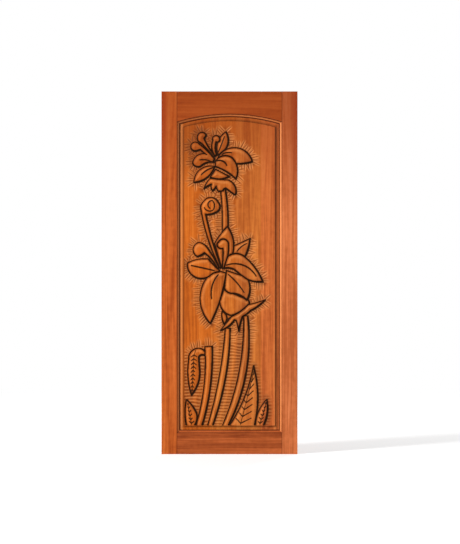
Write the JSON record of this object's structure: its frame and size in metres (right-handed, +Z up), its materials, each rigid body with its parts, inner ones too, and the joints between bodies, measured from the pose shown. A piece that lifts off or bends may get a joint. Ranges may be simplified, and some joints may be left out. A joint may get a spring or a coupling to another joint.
{
  "type": "carved panel door",
  "caption": "Timber door leaf with moulded stiles, an arched top rail and one raised panel of glued boards, carved in relief with lilies, a bud, stems and leaves.",
  "frame": {"origin": "middle of the leaf's bottom edge, halfway through its thickness", "axes": "+X across the leaf to the right as seen from the carved front, +Y out of the plain back, +Z up"},
  "size_m": [0.762, 0.04, 2.032],
  "materials": {
    "frame_wood": "stained and varnished, satin",
    "panel_wood": "stained and varnished, satin, dark stain in the carving's grooves",
    "dowel_wood": "bare"
  },
  "bodies": {
    "root": {"left_stile": "frame_wood", "right_stile": "frame_wood", "bottom_rail": "frame_wood", "top_rail": "frame_wood", "panel_board_1": "panel_wood", "panel_board_2": "panel_wood", "panel_board_3": "panel_wood", "panel_board_4": "panel_wood", "dowel_1": "dowel_wood", "dowel_2": "dowel_wood", "dowel_3": "dowel_wood", "dowel_4": "dowel_wood", "dowel_5": "dowel_wood", "dowel_6": "dowel_wood", "dowel_7": "dowel_wood", "dowel_8": "dowel_wood", "dowel_9": "dowel_wood", "dowel_10": "dowel_wood"}
  },
  "joints": []
}
